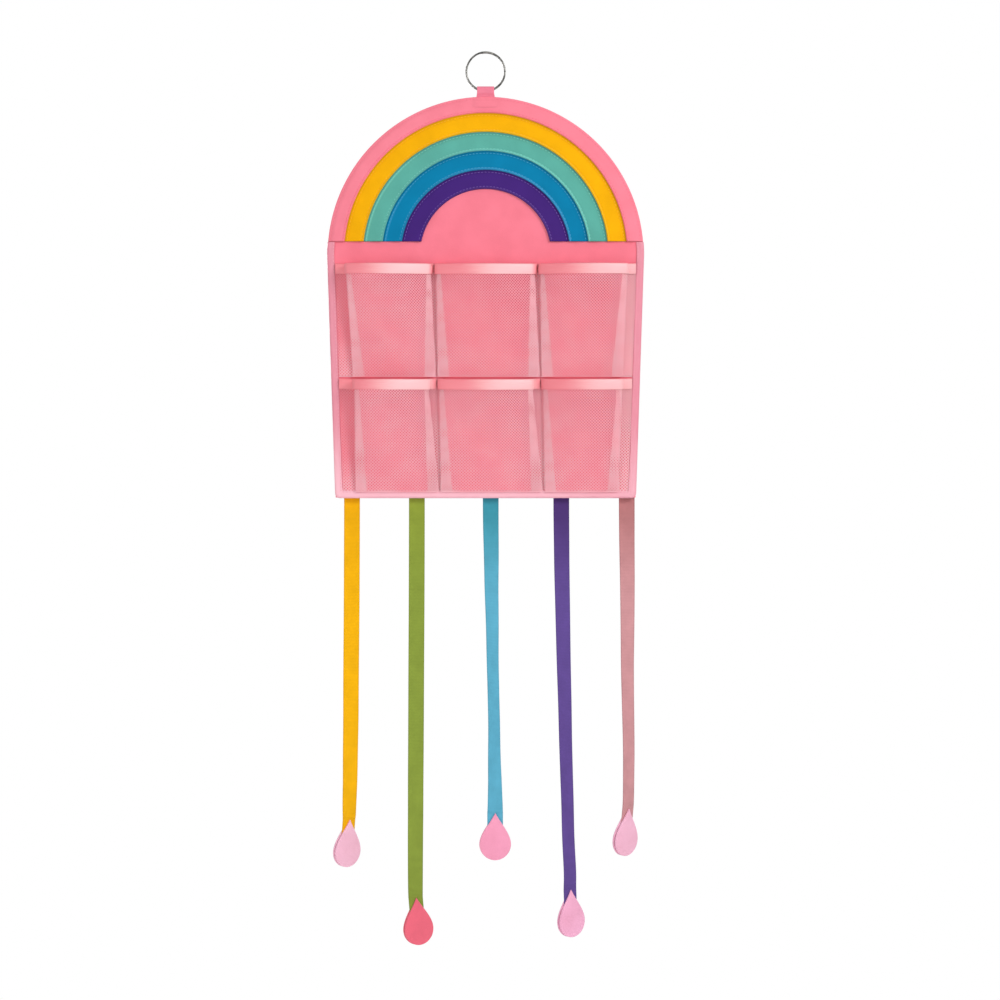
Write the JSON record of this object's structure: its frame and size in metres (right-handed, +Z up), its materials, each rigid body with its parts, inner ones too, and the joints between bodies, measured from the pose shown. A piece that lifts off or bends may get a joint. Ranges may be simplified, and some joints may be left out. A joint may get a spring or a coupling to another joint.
{
  "type": "hanging hair accessory organizer",
  "caption": "Wall-hung fabric organizer: rainbow-arched panel on a split ring, rows of pleated net pockets for hair ties, and ribbons with felt drops to clip barrettes on.",
  "frame": {"origin": "inside top of the split ring, the point that hangs on a hook", "axes": "+Z up, +X to the viewer's right, front with the pockets towards -Y, wall side towards +Y"},
  "size_m": [0.2518, 0.0349, 0.7081],
  "materials": {
    "ring_steel": "bright nickel-plated wire",
    "loop_pink": "matt coated fabric",
    "panel_pink": "smooth matt coated fabric",
    "stiffener": "plain sheet, hidden",
    "band_pink": "matt coated fabric, edge stitched",
    "band_yellow": "matt coated fabric, edge stitched",
    "band_teal": "matt coated fabric, edge stitched",
    "band_blue": "matt coated fabric, edge stitched",
    "band_purple": "matt coated fabric, edge stitched",
    "edge_satin": "satin binding tape",
    "mouth_satin": "satin binding tape",
    "net_pink": "fine diamond net",
    "ribbon_yellow": "woven ribbon",
    "ribbon_green": "woven ribbon",
    "ribbon_blue": "woven ribbon",
    "ribbon_purple": "woven ribbon",
    "ribbon_rose": "woven ribbon",
    "felt_pale_pink": "felt",
    "felt_deep_pink": "felt",
    "felt_mid_pink": "felt"
  },
  "bodies": {
    "ring": {"split_ring": "ring_steel"},
    "loop": {"hanging_loop": "loop_pink"},
    "panel": {"front_sheet": "panel_pink", "stiffener_board": "stiffener", "back_sheet": "panel_pink", "edge_tape": "edge_satin", "band_pink": "band_pink", "band_yellow": "band_yellow", "band_teal": "band_teal", "band_blue": "band_blue", "band_purple": "band_purple"},
    "pocket_upper_left": {"net_upper_left": "net_pink", "mouth_tape_upper_left": "mouth_satin"},
    "pocket_upper_middle": {"net_upper_middle": "net_pink", "mouth_tape_upper_middle": "mouth_satin"},
    "pocket_upper_right": {"net_upper_right": "net_pink", "mouth_tape_upper_right": "mouth_satin"},
    "pocket_lower_left": {"net_lower_left": "net_pink", "mouth_tape_lower_left": "mouth_satin"},
    "pocket_lower_middle": {"net_lower_middle": "net_pink", "mouth_tape_lower_middle": "mouth_satin"},
    "pocket_lower_right": {"net_lower_right": "net_pink", "mouth_tape_lower_right": "mouth_satin"},
    "strand_yellow": {"ribbon_yellow": "ribbon_yellow", "drop_yellow_front": "felt_pale_pink", "drop_yellow_back": "felt_pale_pink"},
    "strand_green": {"ribbon_green": "ribbon_green", "drop_green_front": "felt_deep_pink", "drop_green_back": "felt_deep_pink"},
    "strand_blue": {"ribbon_blue": "ribbon_blue", "drop_blue_front": "felt_mid_pink", "drop_blue_back": "felt_mid_pink"},
    "strand_purple": {"ribbon_purple": "ribbon_purple", "drop_purple_front": "felt_pale_pink", "drop_purple_back": "felt_pale_pink"},
    "strand_rose": {"ribbon_rose": "ribbon_rose", "drop_rose_front": "felt_pale_pink", "drop_rose_back": "felt_pale_pink"}
  },
  "joints": [
    {"name": "loop_on_ring", "type": "hinge", "parent": "ring", "child": "loop", "pos_m": [0, 0, -0.0145], "axis": [0, 1, 0], "range_deg": [-30, 30]},
    {"name": "panel_swing", "type": "hinge", "parent": "loop", "child": "panel", "pos_m": [0, 0, -0.0345], "axis": [1, 0, 0], "range_deg": [-90, 30], "deforming": ["hanging_loop"]},
    {"name": "open_upper_left", "type": "hinge", "parent": "panel", "child": "pocket_upper_left", "pos_m": [-0.078, -0.0022, -0.2545], "axis": [1, 0, 0], "range_deg": [0, 12], "stiffness_Nm_per_rad": 0.02, "springref_deg": -8.59},
    {"name": "open_upper_middle", "type": "hinge", "parent": "panel", "child": "pocket_upper_middle", "pos_m": [0.004, -0.0022, -0.2545], "axis": [1, 0, 0], "range_deg": [0, 12], "stiffness_Nm_per_rad": 0.02, "springref_deg": -8.59},
    {"name": "open_upper_right", "type": "hinge", "parent": "panel", "child": "pocket_upper_right", "pos_m": [0.082, -0.0022, -0.2545], "axis": [1, 0, 0], "range_deg": [0, 12], "stiffness_Nm_per_rad": 0.02, "springref_deg": -8.59},
    {"name": "open_lower_left", "type": "hinge", "parent": "panel", "child": "pocket_lower_left", "pos_m": [-0.076, -0.0022, -0.3455], "axis": [1, 0, 0], "range_deg": [0, 12], "stiffness_Nm_per_rad": 0.02, "springref_deg": -8.59},
    {"name": "open_lower_middle", "type": "hinge", "parent": "panel", "child": "pocket_lower_middle", "pos_m": [0.004, -0.0022, -0.3455], "axis": [1, 0, 0], "range_deg": [0, 12], "stiffness_Nm_per_rad": 0.02, "springref_deg": -8.59},
    {"name": "open_lower_right", "type": "hinge", "parent": "panel", "child": "pocket_lower_right", "pos_m": [0.08, -0.0022, -0.3455], "axis": [1, 0, 0], "range_deg": [0, 12], "stiffness_Nm_per_rad": 0.02, "springref_deg": -8.59},
    {"name": "swing_yellow", "type": "hinge", "parent": "panel", "child": "strand_yellow", "pos_m": [-0.106, 0.00335, -0.3532], "axis": [1, 0, 0], "range_deg": [-90, 60], "deforming": ["ribbon_yellow"]},
    {"name": "swing_green", "type": "hinge", "parent": "panel", "child": "strand_green", "pos_m": [-0.0545, 0.00335, -0.3532], "axis": [1, 0, 0], "range_deg": [-90, 60], "deforming": ["ribbon_green"]},
    {"name": "swing_blue", "type": "hinge", "parent": "panel", "child": "strand_blue", "pos_m": [0.004, 0.00335, -0.3532], "axis": [1, 0, 0], "range_deg": [-90, 60], "deforming": ["ribbon_blue"]},
    {"name": "swing_purple", "type": "hinge", "parent": "panel", "child": "strand_purple", "pos_m": [0.06, 0.00335, -0.3532], "axis": [1, 0, 0], "range_deg": [-90, 60], "deforming": ["ribbon_purple"]},
    {"name": "swing_rose", "type": "hinge", "parent": "panel", "child": "strand_rose", "pos_m": [0.112, 0.00335, -0.3532], "axis": [1, 0, 0], "range_deg": [-90, 60], "deforming": ["ribbon_rose"]}
  ]
}
